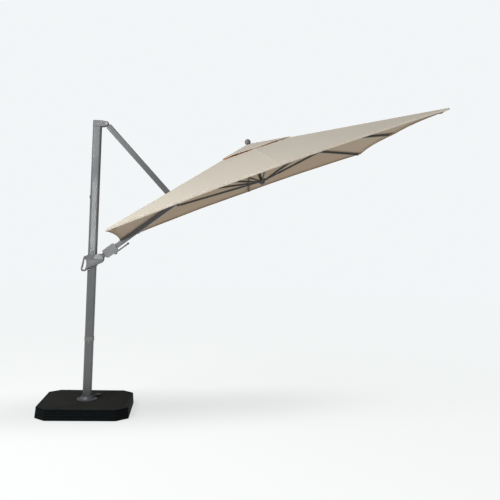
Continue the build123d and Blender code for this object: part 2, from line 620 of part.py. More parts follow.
def make_rib(label, azimuth):
    length, slope = rib_shape(azimuth)
    at = rib_stretcher(azimuth)["along"]
    rib = beam(42, length - RIB_TIP, RIB_WIDTH, RIB_DEPTH, 3)
    rib -= beam(42, length - RIB_TIP, RIB_WIDTH - 2 * RIB_WALL, RIB_DEPTH - 2 * RIB_WALL, 1.4)
    half = RIB_TONGUE / 2
    rib += box(0, 70, -half, half, -8, 8) + cross_rod(8, -half, half)
    rib += box(42, 56, -6, 6, -10.5, 10.5)
    rib -= cross_rod(3 + PIN_RUN, -20, 20)
    rib += both_sides(box(at - 9, at + 9, 2.7, 5.7, -RIB_BRACKET_DROP - 5, -RIB_DEPTH / 2))
    rib += cross_rod(2.5, -6, 6, at, -RIB_BRACKET_DROP)
    tip = beam(length - RIB_TIP, length, RIB_WIDTH + 3, RIB_DEPTH + 3, 5)
    hinge = Rot(0, 0, azimuth) * Pos(RIB_PIN_RADIUS, 0, RIB_PIN_LEVEL) * Rot(0, slope, 0)
    node("rib_" + label, CANOPY * hinge * rib, CANOPY * hinge * tip)


# ---- cloth --------------------------------------------------------------------------------
def panel(points, thickness):
    """A flat piece of cloth: its upper outline, pushed down by the thickness."""
    face = make_face(Polyline(*points, close=True))
    return extrude(face, thickness, dir=(0, 0, -1))


def cloth(apex, inner, rim):
    """Eight flat panels between an inner ring and a rim, as one cloth."""
    sheet = None
    for k in range(8):
        a, b = rim[k], rim[(k + 1) % 8]
        share = [inner / max(abs(p[0]), abs(p[1])) for p in (a, b)]
        ring = [(p[0] * s, p[1] * s, apex + (p[2] - apex) * s) for p, s in zip((a, b), share)]
        piece = panel((ring[0], a, b, ring[1]), FABRIC)
        sheet = piece if sheet is None else sheet + piece
    return sheet


def make_cloth():
    half = CANOPY_SIDE / 2
    rim = []
    for k in range(8):
        x, y = ((1, 0), (1, 1), (0, 1), (-1, 1), (-1, 0), (-1, -1), (0, -1), (1, -1))[k]
        rim.append((x * half, y * half, 0.0 if x * y else MIDDLE_RISE))
    rim[4] = (-BOOM_EDGE[0], 0.0, BOOM_EDGE[1])
    canopy = cloth(FABRIC_APEX, VENT_HOLE, rim)
    strut_slot = box(-1010, -800, -34, 34, -200, 400)
    node("canopy_cloth", CANOPY * (canopy - strut_slot))

    edge = []
    for x, y, _ in rim:
        x, y = (v / abs(v) * VENT_CAP if v else 0.0 for v in (x, y))
        edge.append((x, y, CAP_CORNER_LEVEL if x * y else CAP_MIDDLE_LEVEL))
    node("vent_cap", CANOPY * cloth(CAP_APEX, 24, edge))


# ---- build --------------------------------------------------------------------------------
def report(name, place, axis_azimuth=None):
    """Prints a joint's place in metres, and its axis when it lies across a rib."""
    x, y, z = (v / 1000 for v in place)
    line = f"JOINT {name} {x:.6f} {y:.6f} {z:.6f}"
    if axis_azimuth is not None:
        a = radians(axis_azimuth)
        line += f" {-sin(a) * tilt_cos:.8f} {cos(a):.8f} {-sin(a) * tilt_sin:.8f}"
    print(line)


def canopy_place(azimuth, radius, level):
    a = radians(azimuth)
    return place_in(CANOPY, radius * cos(a), radius * sin(a), level)


def place_in(frame, x, y, z):
    """A point of a frame, in the part's own axes."""
    return tuple((frame * Pos(x, y, z)).position)


make_base()
pedal = make_flange()
make_mast()
make_strut()
make_slider()
make_boom()
make_crank()
make_hubs()
for label, azimuth in RIB_AZIMUTHS.items():
    make_rib(label, azimuth)
    make_stretcher("stretcher_" + label, azimuth, rib_stretcher(azimuth))
make_stretcher("stretcher_boom", BOOM_AZIMUTH, boom_stretcher)
make_cloth()

os.makedirs("parts", exist_ok=True)
for name, shape in NODES.items():
    export_step(shape, f"parts/{name}.step")

pa = radians(PEDAL_AZIMUTH)
report("pedal", (pedal[0] * cos(pa), pedal[0] * sin(pa), pedal[1]))
report("lever", (LEVER_PIVOT[0], 0, LEVER_PIVOT[1]))
report("boom_pivot", (BOOM_PIVOT[0], 0, BOOM_PIVOT[1]))
report("strut_pivot", (STRUT_TOP[0], 0, STRUT_TOP[1]))
report("boom_tip", (tip_x, 0, tip_z))
report("canopy_centre", (centre_x, 0, centre_z))
report("crank", place_in(BOOM, CRANK_ALONG, 0, CRANK_BELOW))
report("knob", place_in(BOOM, CRANK_ALONG + CRANK_REACH, 0, CRANK_BELOW))
print("TRAVEL", hub_travel() / 1000)
for label, azimuth in RIB_AZIMUTHS.items():
    facts = rib_stretcher(azimuth)
    report("rib_" + label, canopy_place(azimuth, RIB_PIN_RADIUS, RIB_PIN_LEVEL), azimuth)
    report("stretcher_" + label, canopy_place(azimuth, *facts["pin"]), azimuth)
    print("RATIO", "stretcher_" + label, facts["ratio"])
report("stretcher_boom", canopy_place(BOOM_AZIMUTH, *boom_stretcher["pin"]), BOOM_AZIMUTH)
print("RATIO stretcher_boom", boom_stretcher["ratio"])
print(len(NODES), "nodes")
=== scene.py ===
import json
import math

import bmesh
import bpy
import numpy as np
from mathutils import Matrix, Vector, noise


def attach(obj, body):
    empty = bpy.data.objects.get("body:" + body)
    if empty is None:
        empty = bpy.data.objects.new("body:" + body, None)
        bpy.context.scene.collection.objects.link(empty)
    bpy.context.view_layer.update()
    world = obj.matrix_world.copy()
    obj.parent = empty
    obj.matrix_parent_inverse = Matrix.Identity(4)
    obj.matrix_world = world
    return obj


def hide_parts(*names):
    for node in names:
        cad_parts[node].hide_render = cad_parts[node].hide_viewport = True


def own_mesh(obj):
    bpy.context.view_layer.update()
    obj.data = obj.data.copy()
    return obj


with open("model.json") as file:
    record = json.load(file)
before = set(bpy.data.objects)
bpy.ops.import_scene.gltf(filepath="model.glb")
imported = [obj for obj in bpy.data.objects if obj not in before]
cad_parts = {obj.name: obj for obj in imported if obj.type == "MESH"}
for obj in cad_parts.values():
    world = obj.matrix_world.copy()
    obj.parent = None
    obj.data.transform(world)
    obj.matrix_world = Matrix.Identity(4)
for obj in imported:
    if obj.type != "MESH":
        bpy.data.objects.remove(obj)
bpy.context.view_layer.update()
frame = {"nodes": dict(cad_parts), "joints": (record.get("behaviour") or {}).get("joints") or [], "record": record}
JOINTS = {j["name"]: j for j in frame["joints"]}

# ---- the canopy's own frame: along the tilt, across, and along the canopy axis -------------------
# Levels are measured along the canopy axis, from the plane of the cloth's four corners.
TILT = math.radians(21.95)
U_DIR = Vector((math.cos(TILT), 0, math.sin(TILT)))
N_DIR = Vector((-math.sin(TILT), 0, math.cos(TILT)))
HUB_OFFSET, HUB_LEVEL = 0.045, 0.355
CENTRE = Vector(JOINTS["canopy_fold"]["pos_m"]) + HUB_OFFSET * U_DIR - HUB_LEVEL * N_DIR
ARMS = ["right", "rear_right", "rear", "rear_left", "boom", "front_left", "front", "front_right"]
BOOM_ARM = 4
SIDE = 1.506            # half the cloth's side
RIB_PIN_RADIUS = 0.055  # the ribs' hinges around the canopy axis, and their level
RIB_PIN_LEVEL = 0.385


def canopy_point(u, v, n):
    """A point in the row frame from its place along the tilt, across it and along the canopy axis."""
    return CENTRE + U_DIR * u + Vector((0, v, 0)) + N_DIR * n


def arm_body(k):
    """The body that arm k's cloth rides on."""
    return "boom" if k == BOOM_ARM else "rib_" + ARMS[k]


def arm_direction(k):
    """Outward along arm k, in the canopy's plane."""
    angle = math.radians(45 * k)
    return math.cos(angle), math.sin(angle)


# ---- materials -----------------------------------------------------------------------------------
def tree(name):
    """A material with one shader: the material, its nodes, the shader and the object's own coordinates."""
    material = bpy.data.materials.new(name)
    material.use_nodes = True
    nt = material.node_tree
    nt.nodes.clear()
    shader = nt.nodes.new("ShaderNodeBsdfPrincipled")
    out = nt.nodes.new("ShaderNodeOutputMaterial")
    nt.links.new(shader.outputs["BSDF"], out.inputs["Surface"])
    place = nt.nodes.new("ShaderNodeTexCoord")
    return material, nt, shader, place.outputs["Object"]


def stretched(nt, place, scale):
    mapping = nt.nodes.new("ShaderNodeMapping")
    mapping.inputs["Scale"].default_value = scale
    nt.links.new(place, mapping.inputs["Vector"])
    return mapping.outputs["Vector"]


def noise_value(nt, vector, scale, detail=3.0, roughness=0.55):
    node = nt.nodes.new("ShaderNodeTexNoise")
    node.inputs["Scale"].default_value = scale
    node.inputs["Detail"].default_value = detail
    node.inputs["Roughness"].default_value = roughness
    nt.links.new(vector, node.inputs["Vector"])
    return node.outputs["Fac"]


def spread(nt, value, low, high, start=0.3, end=0.7):
    node = nt.nodes.new("ShaderNodeMapRange")
    for key, number in (("From Min", start), ("From Max", end), ("To Min", low), ("To Max", high)):
        node.inputs[key].default_value = number
    nt.links.new(value, node.inputs["Value"])
    return node.outputs["Result"]


def mixed(nt, value, a, b):
    node = nt.nodes.new("ShaderNodeMix")
    node.data_type = "RGBA"
    nt.links.new(value, node.inputs["Factor"])
    colour_a, colour_b, colour_out = 6, 7, 2
    for socket, colour in ((colour_a, a), (colour_b, b)):
        if isinstance(colour, tuple):
            node.inputs[socket].default_value = (*colour, 1)
        else:
            nt.links.new(colour, node.inputs[socket])
    return node.outputs[colour_out]


def bumped(nt, shader, height, strength, distance):
    node = nt.nodes.new("ShaderNodeBump")
    node.inputs["Strength"].default_value = strength
    node.inputs["Distance"].default_value = distance
    nt.links.new(height, node.inputs["Height"])
    nt.links.new(node.outputs["Normal"], shader.inputs["Normal"])


def tinted(colour, share):
    return tuple(c * share for c in colour)


def coated(name, colour, rough, metallic=0.0, grain=900.0, bump=0.12, vary=0.86, coat=0.0, shine=0.5):
    """Powder coat, casting or moulded plastic: fine grain, faint mottling and an uneven gloss."""
    material, nt, shader, place = tree(name)
    patch = spread(nt, noise_value(nt, place, 7.0), 0, 1)
    nt.links.new(mixed(nt, patch, tinted(colour, vary), colour), shader.inputs["Base Color"])
    gloss = noise_value(nt, place, 40.0, 4.0)
    nt.links.new(spread(nt, gloss, rough - 0.05, rough + 0.07), shader.inputs["Roughness"])
    shader.inputs["Metallic"].default_value = metallic
    shader.inputs["Coat Weight"].default_value = coat
    shader.inputs["Coat Roughness"].default_value = 0.10
    shader.inputs["Specular IOR Level"].default_value = shine
    bumped(nt, shader, noise_value(nt, place, grain, 2.0), bump, 0.0006)
    return material


def brushed(name, colour, rough, lines=(1.0, 1.0, 0.02)):
    """Bare or plated metal with fine lines."""
    material, nt, shader, place = tree(name)
    fine = noise_value(nt, stretched(nt, place, lines), 700.0, 4.0)
    nt.links.new(mixed(nt, spread(nt, fine, 0, 1), tinted(colour, 0.8), colour), shader.inputs["Base Color"])
    nt.links.new(spread(nt, fine, rough - 0.06, rough + 0.08), shader.inputs["Roughness"])
    shader.inputs["Metallic"].default_value = 1.0
    bumped(nt, shader, fine, 0.1, 0.0004)
    return material


def woven(name, colour, shade, seam):
    """Woven polyester: a fine cross weave, soft streaks along the threads and darker stitch lines."""
    material, nt, shader, place = tree(name)
    turned = nt.nodes.new("ShaderNodeMapping")
    turned.inputs["Rotation"].default_value = (0, TILT, 0)
    nt.links.new(place, turned.inputs["Vector"])
    flat = turned.outputs["Vector"]
    streak = noise_value(nt, stretched(nt, flat, (1.2, 26.0, 1.0)), 2.6, 5.0, 0.62)
    cloud = noise_value(nt, flat, 2.2, 4.0)
    colour_streak = mixed(nt, spread(nt, streak, 0, 1, 0.25, 0.75), shade, colour)
    blotch = mixed(nt, spread(nt, cloud, 0, 0.35), colour_streak, tinted(colour, 0.93))
    warp = noise_value(nt, stretched(nt, flat, (1.0, 0.16, 1.0)), 1700.0, 1.0)
    weft = noise_value(nt, stretched(nt, flat, (0.16, 1.0, 1.0)), 1700.0, 1.0)
    cross = nt.nodes.new("ShaderNodeMath")
    cross.operation = "MAXIMUM"
    nt.links.new(warp, cross.inputs[0])
    nt.links.new(weft, cross.inputs[1])
    thread = mixed(nt, spread(nt, cross.outputs[0], 0.10, 0, 0.4, 0.75), blotch, tinted(shade, 0.8))
    line = nt.nodes.new("ShaderNodeAttribute")
    line.attribute_name = "seam"
    nt.links.new(mixed(nt, line.outputs["Fac"], thread, seam), shader.inputs["Base Color"])
    nt.links.new(spread(nt, cross.outputs[0], 0.78, 0.92), shader.inputs["Roughness"])
    shader.inputs["Sheen Weight"].default_value = 0.12
    shader.inputs["Sheen Roughness"].default_value = 0.6
    shader.inputs["Specular IOR Level"].default_value = 0.25
    bumped(nt, shader, cross.outputs[0], 0.25, 0.0005)
    return material


# Each cloth has its own colour, a shade of it and the colour of its stitches.
CLOTH_OUT = woven("cloth_outside", (0.632, 0.575, 0.483), (0.592, 0.535, 0.443), (0.46, 0.40, 0.32))
# The underside is the same fabric as the outside: its darker, warmer colour is painted shade, with painted warm
# light coming through the cloth.
CLOTH_IN_PAINTED_SHADE = woven("cloth_inside_painted_shade", (0.342, 0.250, 0.165), (0.315, 0.226, 0.146), (0.19, 0.145, 0.10))
# The vent cap's underside colour is painted light: a saturated orange for daylight coming through the cloth.
CLOTH_GLOW = woven("cloth_vent_painted_glow", (0.72, 0.36, 0.19), (0.66, 0.32, 0.165), (0.40, 0.20, 0.11))
# Its glow is painted light too, with no lamp behind it: it stands in for daylight through the vent cap, which
# warms its underside.
for socket, value in (("Emission Color", (0.50, 0.20, 0.09, 1)), ("Emission Strength", 0.22)):
    CLOTH_GLOW.node_tree.nodes["Principled BSDF"].inputs[socket].default_value = value


def painted_side_shade(material, colour):
    """Paints shade on the upright faces of a moulded part: they take a darker colour than its top."""
    nt = material.node_tree
    shader = nt.nodes["Principled BSDF"]
    top = shader.inputs["Base Color"].links[0].from_socket
    facing = nt.nodes.new("ShaderNodeTexCoord")
    parts = nt.nodes.new("ShaderNodeSeparateXYZ")
    nt.links.new(facing.outputs["Normal"], parts.inputs["Vector"])
    nt.links.new(mixed(nt, spread(nt, parts.outputs["Z"], 0, 1, 0.35, 0.9), colour, top),
                 shader.inputs["Base Color"])


FINISHES = {
    "base_plastic": coated("moulded_charcoal", (0.029, 0.0295, 0.0275), 0.62, grain=500.0, bump=0.3,
                           vary=0.72, shine=0.04),
    "ballast_stone": coated("cast_concrete", (0.32, 0.31, 0.29), 0.9, grain=120.0, bump=0.5, vary=0.7),
    "steel_frame": coated("black_enamel", (0.05, 0.05, 0.055), 0.45),
    "foot_rubber": coated("foot_rubber", (0.025, 0.025, 0.025), 0.85, grain=300.0),
    "flange_grey": coated("flange_powder_coat", (0.115, 0.123, 0.136), 0.5, 0.2, grain=700.0, bump=0.25),
    "zinc": brushed("zinc_plate", (0.36, 0.36, 0.365), 0.42),
    "bush_nylon": coated("natural_nylon", (0.5, 0.5, 0.46), 0.6),
    "frame_grey": coated("mast_powder_coat", (0.128, 0.132, 0.136), 0.38, 0.3, bump=0.05, coat=0.6,
                         shine=0.25),
    "head_grey": coated("head_casting", (0.125, 0.128, 0.132), 0.48, 0.25, grain=420.0, bump=0.2),
    "slider_grey": coated("slider_moulding", (0.135, 0.138, 0.144), 0.46, grain=600.0, bump=0.2),
    "housing_dark": coated("housing_moulding", (0.178, 0.179, 0.180), 0.42, grain=600.0, bump=0.2),
    "knob_black": coated("knob_moulding", (0.028, 0.028, 0.028), 0.5, grain=500.0),
    "rib_dark": coated("rib_powder_coat", (0.085, 0.086, 0.080), 0.5, 0.2, shine=0.3),
    "hub_dark": coated("hub_moulding", (0.078, 0.080, 0.078), 0.52, grain=500.0, bump=0.2),
    "finial_grey": coated("finial_moulding", (0.19, 0.19, 0.188), 0.45, grain=600.0),
    "cloth_beige": CLOTH_OUT,
}
# Painted shade: the base's upright sides get a darker, bluish colour than its top.
painted_side_shade(FINISHES["base_plastic"], (0.0035, 0.0052, 0.0060))
SLOT_OF = {part["node"]: part["material_slot"] for part in frame["record"]["subparts"]}
for node_name, node_object in frame["nodes"].items():
    node_object.data.materials.clear()
    node_object.data.materials.append(FINISHES[SLOT_OF[node_name]])

BOLT_GREY = coated("bolt_grey", (0.26, 0.262, 0.264), 0.4, 0.4)
for node_name in ("head_bolts", "strut_bolt", "strut_fork_bolts"):
    frame["nodes"][node_name].data.materials[0] = BOLT_GREY


def softened(node_name, width, angle=35.0):
    """Rounds a CAD node's hard edges."""
    piece = frame["nodes"][node_name]
    weld = piece.modifiers.new("weld", "WELD")
    weld.merge_threshold = 0.00002
    bevel = piece.modifiers.new("edges", "BEVEL")
    bevel.width = width
    bevel.segments = 2
    bevel.limit_method = "ANGLE"
    bevel.angle_limit = math.radians(angle)
    bevel.harden_normals = True


EDGE_WIDTHS = {
    "crank_housing_front": 0.006, "crank_housing_rear": 0.006, "head_cap": 0.003, "boom_foot": 0.002,
    "strut_fork": 0.002, "crank_arm": 0.002, "slider_grip": 0.003,
}
for node_name, width in EDGE_WIDTHS.items():
    softened(node_name, width)

# ---- mesh helpers --------------------------------------------------------------------------------
def made(name, points, faces, kinds, materials, seam=None):
    """A mesh object with one material per kind of face and a sharp edge where kinds meet."""
    mesh = bpy.data.meshes.new(name)
    mesh.from_pydata([tuple(p) for p in points], [], faces)
    for material in materials:
        mesh.materials.append(material)
    mesh.polygons.foreach_set("material_index", [kind[1] for kind in kinds])
    mesh.polygons.foreach_set("use_smooth", [True] * len(faces))
    if seam is not None:
        mesh.attributes.new("seam", "FLOAT", "POINT").data.foreach_set("value", seam)
    bm = bmesh.new()
    bm.from_mesh(mesh)
    bm.faces.ensure_lookup_table()
    for edge in bm.edges:
        sides = {kinds[f.index][0] for f in edge.link_faces}
        edge.smooth = len(sides) < 2
    bm.to_mesh(mesh)
    bm.free()
    piece = bpy.data.objects.new(name, mesh)
    bpy.context.scene.collection.objects.link(piece)
    return piece


# ---- cloth ---------------------------------------------------------------------------------------
THICK = 0.0014          # the cloth, and what a folded hem and a seam add to it
HEM_THICK = 0.0014
SEAM_THICK = 0.0007
HEM = 0.022             # width of the hem
STITCH = HEM - 0.0015   # its line of stitches, in from the cloth's edge
SEAM_EDGE = 0.0075      # the raised seam over each arm reaches this far on both sides
SEAM_STITCH = 0.0055    # its stitches run between here and its edge
HEM_GAP = 0.0024        # thickness of the part that hangs below the edge
BOOM_GORE_RISE = 0.010  # the gores beside the boom stand up between their arms
BOOM_HEM_SHARE = 0.4    # and their hem is cut in less
BOOM_RUN = 1.555        # from the canopy axis to the cloth's edge over the boom
# Each cloth: apex level, share of the run that is open in the middle, how far the hem is cut in
# between the arms, sag of a gore, half side, length of the edge that hangs, lift of the hem between
# the arms, and where it meets each arm.
MAIN = {
    "apex": 0.414, "hole": 0.2, "cut": 0.027, "sag": 0.007, "half": SIDE,
    "rim": [(SIDE, 0, 0.032), (SIDE, SIDE, 0.003), (0, SIDE, 0.032), (-SIDE, SIDE, 0.003),
            (-BOOM_RUN, 0, -0.060), (-SIDE, -SIDE, 0.003), (0, -SIDE, 0.032), (SIDE, -SIDE, 0.003)],
    "drop": 0.016, "lift": 0.0,
}
CAP_SIDE = 0.352
CAP_SHIFT = 0.022       # the cap sits a little further from the boom than the canopy axis
CAP = {
    "apex": 0.424, "hole": 0.024 / CAP_SIDE, "cut": 0.02, "sag": 0.003, "half": CAP_SIDE,
    "drop": 0.0, "lift": 0.005,
    "rim": [(CAP_SIDE * x + CAP_SHIFT, CAP_SIDE * y, level)
            for x, y, level in ((1, 0, 0.329), (1, 1, 0.324), (0, 1, 0.329), (-1, 1, 0.334),
                                (-1, 0, 0.329), (-1, -1, 0.334), (0, -1, 0.329), (1, -1, 0.324))],
}


def on_gore(cloth, a, b, w, share):
    """A point of the gore between arms a and b: w across from a to b, share out from the apex."""
    apex = np.array((0, 0, cloth["apex"]))
    pa, pb = np.array(cloth["rim"][a]), np.array(cloth["rim"][b])
    point = apex + share * ((1 - w) * (pa - apex) + w * (pb - apex))
    open_part = 4 * w * (1 - w)
    boom_side = BOOM_ARM in (a, b)
    drop = cloth["sag"] * math.sin(math.pi * min(share, 1.0))
    rise = BOOM_GORE_RISE * share ** 3 if boom_side and cloth is MAIN else 0.0
    loose = min(1.0, 3 * open_part)
    u, v = point[0], point[1]
    ripple = 0.0022 * noise.noise(Vector((u * 3.1, v * 3.1, 0.3)))
    ripple += 0.0010 * noise.noise(Vector((u * 9.0 + v * 3.0, v * 9.0 - u * 3.0, 7.1)))
    rise += cloth["lift"] * share ** 3
    point[2] += open_part * (rise - drop) + loose * ripple * (1 if cloth is MAIN else 0.5)
    return point


def hem_share(cloth, w, a, b):
    """How far out the hem lies across the gore between arms a and b, cut in between them."""
    cut = cloth["cut"] * (BOOM_HEM_SHARE if BOOM_ARM in (a, b) and cloth is MAIN else 1.0)
    return 1 - cut * 4 * w * (1 - w)


def rows_of(cloth, count):
    """Distances in from the hem, as (share of the open run, fixed distance)."""
    rows = [(i / count, None) for i in range(count)]
    rows += [(1.0, None), (None, STITCH), (None, HEM - 0.003), (None, 0.004), (None, 0.001)]
    if cloth["drop"]:
        return rows + [(None, -cloth["drop"] * t) for t in (0.15, 0.5, 0.85, 1.0)]
    return rows + [(None, 0.0)]


def columns_of(count):
    """Places across a whole panel: shares of the half gore, and signed distances close to the arm."""
    left = [("share", -0.5 + 0.5 * i / count) for i in range(count)]
    left += [("mm", -d) for d in reversed(RIDGES)]
    right = [("mm", d) for d in RIDGES]
    right += [("share", 0.5 * (i + 1) / count) for i in range(count)]
    return left + [("mm", 0.0)] + right


SLIT = 0.034              # half width of the opening for the strut
SLIT_RUN = (0.800, 1.010)  # and where it starts and ends, out from the canopy axis


def beside_slit(part, reach):
    """Distance from the arm, from the slit's edge to the middle of the gore at a reach."""
    return SLIT + part * (0.5 * reach - SLIT)


def edge_normal(k, b, distance):
    """Outward across the hem at an arm, or between arms k and b."""
    if k % 2 and distance < 0.0001:
        c, s = arm_direction(k)
        return c * math.sqrt(2), s * math.sqrt(2)
    return arm_direction(b if k % 2 else k)


def place_on(cloth, k, kind, place, share_open, inset):
    """Where a row meets a column: the next arm, share across, share out and distance from the arm."""
    half = cloth["half"]
    b = (k + (1 if place >= 0 else -1)) % 8
    across = {"mm": 0.0, "share": abs(place), "slit": beside_slit(abs(place), half) / half}[kind]
    near = hem_share(cloth, across, k, b)
    if inset is None:
        share = cloth["hole"] + share_open * (near - HEM / half - cloth["hole"])
    else:
        share = near - max(inset, 0.0) / half
    if kind == "mm":
        w = abs(place) / (half * share)
        distance = abs(place)
        share += hem_share(cloth, w, k, b) - 1.0
    elif kind == "slit":
        distance = beside_slit(abs(place), half * share)
        w = distance / (half * share)
    else:
        w = abs(place)
        distance = w * half * share
    return b, w, share, distance


def two_sides(k, b, point, distance, inset):
    """The cloth's upper and lower points at a place: plain, on the hem, or hanging below the edge."""
    hem = inset is not None
    seam = distance < SEAM_EDGE
    depth = THICK + (HEM_THICK if hem else 0.0) + (SEAM_THICK if seam else 0.0)
    down = -min(inset, 0.0) if hem else 0.0
    if down:
        ox, oy = edge_normal(k, b, distance)
        flutter = noise.noise(Vector((point[0] * 5, point[1] * 5, 2.0)))
        swing = 0.0015 + 0.004 * flutter * down / MAIN["drop"]
        outer = (point[0] + ox * swing, point[1] + oy * swing, point[2] - down)
        inner = (outer[0] - ox * HEM_GAP, outer[1] - oy * HEM_GAP, min(outer[2], point[2] - depth))
        return canopy_point(*outer), canopy_point(*inner)
    raised = 0.0008 if seam else 0.0
    sunk = 0.0007 if inset == STITCH else 0.0
    taper = 0.0006 if inset == 0.0 else 0.0
    return (canopy_point(point[0], point[1], point[2] + raised - sunk - taper),
            canopy_point(point[0], point[1], point[2] - depth + taper))


def strip(name, cloth, k, places, row_list, materials):
    """Cloth of one arm over the given places and rows, as a closed sheet with a folded hem."""
    top, low, marks = [], [], []
    for share_open, inset in row_list:
        for kind, place in places:
            b, w, share, distance = place_on(cloth, k, kind, place, share_open, inset)
            point = on_gore(cloth, k, b, min(w, 0.5), share)
            upper, lower = two_sides(k, b, point, distance, inset)
            top.append(upper)
            low.append(lower)
            stitched = SEAM_STITCH < distance < SEAM_EDGE or inset == STITCH
            marks.append(0.8 if stitched else 0.0)
    rows, cols = len(row_list), len(places)
    count = rows * cols
    faces, kinds = [], []
    for i in range(rows - 1):
        for j in range(cols - 1):
            a = i * cols + j
            quad = (a, a + cols, a + cols + 1, a + 1)
            faces += [quad, tuple(count + x for x in reversed(quad))]
            kinds += [(0, 0), (1, 1)]
    rim = [list(range(cols)), [(rows - 1) * cols + j for j in range(cols)][::-1],
           [i * cols for i in range(rows)][::-1], [i * cols + cols - 1 for i in range(rows)]]
    for n, side in enumerate(rim):
        for a, b in zip(side, side[1:]):
            faces.append((a, b, count + b, count + a))
            kinds.append((2 + n, 0))
    return made(name, top + low, faces, kinds, materials, marks + marks)


RIDGES = (SEAM_STITCH, 0.0065, SEAM_EDGE, 0.009)


def dress(piece, k, cloth_node, fold=True):
    """Hangs a cloth piece on its arm's body, gives it a mesh of its own when fold is set, and hides the CAD cloth
    node.
    """
    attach(piece, arm_body(k))
    if fold:
        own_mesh(piece)
    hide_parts(cloth_node)


MAIN_ROWS, CAP_ROWS = 30, 10
for k, arm in enumerate(ARMS):
    if k != BOOM_ARM:
        piece = strip("canopy_" + arm, MAIN, k, columns_of(12), rows_of(MAIN, MAIN_ROWS),
                      [CLOTH_OUT, CLOTH_IN_PAINTED_SHADE])
        dress(piece, k, "canopy_cloth")
    piece = strip("vent_cap_" + arm, CAP, k, columns_of(6), rows_of(CAP, CAP_ROWS),
                  [CLOTH_OUT, CLOTH_GLOW])
    dress(piece, k, "vent_cap")

# The cloth over the boom is open where the strut comes through.
SLIT_COLUMNS = 13
for side, label in ((-1, "rear"), (1, "front")):
    places = [("slit", side * max(i / SLIT_COLUMNS, 0.00001)) for i in range(SLIT_COLUMNS + 1)]
    if side < 0:
        places = places[::-1]
    piece = strip("canopy_boom_" + label, MAIN, BOOM_ARM, places, rows_of(MAIN, MAIN_ROWS),
                  [CLOTH_OUT, CLOTH_IN_PAINTED_SHADE])
    dress(piece, BOOM_ARM, "canopy_cloth")

# Two bands close it over the boom, before and after the strut.
band_places = [("mm", d / 1000) for d in (-34, -28, -9, -7.5, -6, 0, 6, 7.5, 9, 28, 34)]
open_run = 1 - HEM / SIDE - MAIN["hole"]
inner_end = (SLIT_RUN[0] / BOOM_RUN - MAIN["hole"]) / open_run
outer_start = (SLIT_RUN[1] / BOOM_RUN - MAIN["hole"]) / open_run
inner_rows = [(inner_end * i / 10, None) for i in range(11)]
outer_rows = [(outer_start + (1 - outer_start) * i / 12, None) for i in range(12)]
outer_rows += rows_of(MAIN, 1)[1:]
for label, row_list, long in (("inner", inner_rows, 0.55), ("outer", outer_rows, 0.60)):
    piece = strip("canopy_boom_band_" + label, MAIN, BOOM_ARM, band_places, row_list,
                  [CLOTH_OUT, CLOTH_IN_PAINTED_SHADE])
    dress(piece, BOOM_ARM, "canopy_cloth", fold=False)

RIB_REACH = 1.486        # from the canopy axis to where a middle rib's line ends, along the canopy
RIB_FALL = (0.368, 0.399)  # how far a middle and a corner rib's line falls from its hinge
RIB_SHORT = 0.031        # how far before that the rib's tip ends
POCKET_WALL = 0.0011


def pocket(k):
    """The pocket sewn under the cloth's edge that holds rib k's tip, open towards the hub."""
    corner = k % 2
    stretch = math.sqrt(2) if corner else 1.0
    run, fall = RIB_REACH * stretch - RIB_PIN_RADIUS, RIB_FALL[corner]
    slope = math.atan2(fall, run)
    tip = math.hypot(run, fall) - RIB_SHORT * stretch
    rim = (SIDE * stretch - RIB_PIN_RADIUS) / math.cos(slope)
    up = 0.0 if corner else -0.0010
    # Along the rib, half width, and the lower and upper side about the rib's middle.
    sections = [(tip - 0.022, 0.0125, -0.0155, 0.0165), (tip - 0.010, 0.0122, -0.0152, 0.0166),
                (tip + 0.003, 0.0125, -0.0150, 0.0168), (tip + 0.012, 0.0115, -0.0090, 0.0172),
                (tip + 0.030, 0.0090, 0.0060, 0.0180), (rim - 0.016, 0.0070, 0.0125, 0.0185),
                (rim - 0.010, 0.0050, 0.0145, 0.0180)]
    c, s = arm_direction(k)
    count = 16
    points, seams = [], []
    for wall in (0.0, POCKET_WALL):
        for i, (x, wide, low, high) in enumerate(sections):
            middle, deep = (low + high) / 2 + up, (high - low) / 2 - wall
            for j in range(count):
                a = 2 * math.pi * j / count
                ca, sa = math.cos(a), math.sin(a)
                side = (wide - wall) * math.copysign(abs(ca) ** 0.6, ca)
                rise = middle + deep * math.copysign(abs(sa) ** 0.6, sa)
                along = x - (wall if i == len(sections) - 1 else 0.0)
                radius = RIB_PIN_RADIUS + along * math.cos(slope) + rise * math.sin(slope)
                level = RIB_PIN_LEVEL - along * math.sin(slope) + rise * math.cos(slope)
                points.append(canopy_point(radius * c - side * s, radius * s + side * c, level))
                seams.append(0.7 if i == 1 else 0.0)
    shell = len(sections) * count
    faces, kinds = [], []
    for i in range(len(sections) - 1):
        for j in range(count):
            a, b = i * count + j, i * count + (j + 1) % count
            faces.append((a, a + count, b + count, b))
            faces.append((shell + b, shell + b + count, shell + a + count, shell + a))
            kinds += [(0, 0), (1, 0)]
    for j in range(count):
        faces.append((j, (j + 1) % count, shell + (j + 1) % count, shell + j))
        kinds.append((2, 0))
    last = shell - count
    faces += [tuple(last + j for j in reversed(range(count))), tuple(shell + last + j for j in range(count))]
    kinds += [(0, 0), (1, 0)]
    # The pocket takes the cloth underside's colour, which is painted shade.
    piece = made("rib_pocket_" + ARMS[k], points, faces, kinds, [CLOTH_IN_PAINTED_SHADE], seams)
    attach(piece, arm_body(k))
    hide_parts("canopy_cloth")


for k in range(8):
    if k != BOOM_ARM:
        pocket(k)

# ---- base cover ----------------------------------------------------------------------------------
BASE_HALF = 0.440       # half the base's side at the ground, its corner cut and its height
BASE_CUT = 0.110
BASE_TOP = 0.110
BASE_FOOT = 0.003       # the shell's lower edge
BASE_EDGE = 0.005       # the rounded edge round its top
BASE_LEAN = 0.009 / 0.107
CORNER_ROUND = 0.012
SOCKET_RADIUS = 0.039   # the opening under the mast's flange
GROOVE_LEVELS = (0.030, 0.055, 0.080)
GROOVE_HALF = 0.003
GROOVE_DEPTH = 0.0022


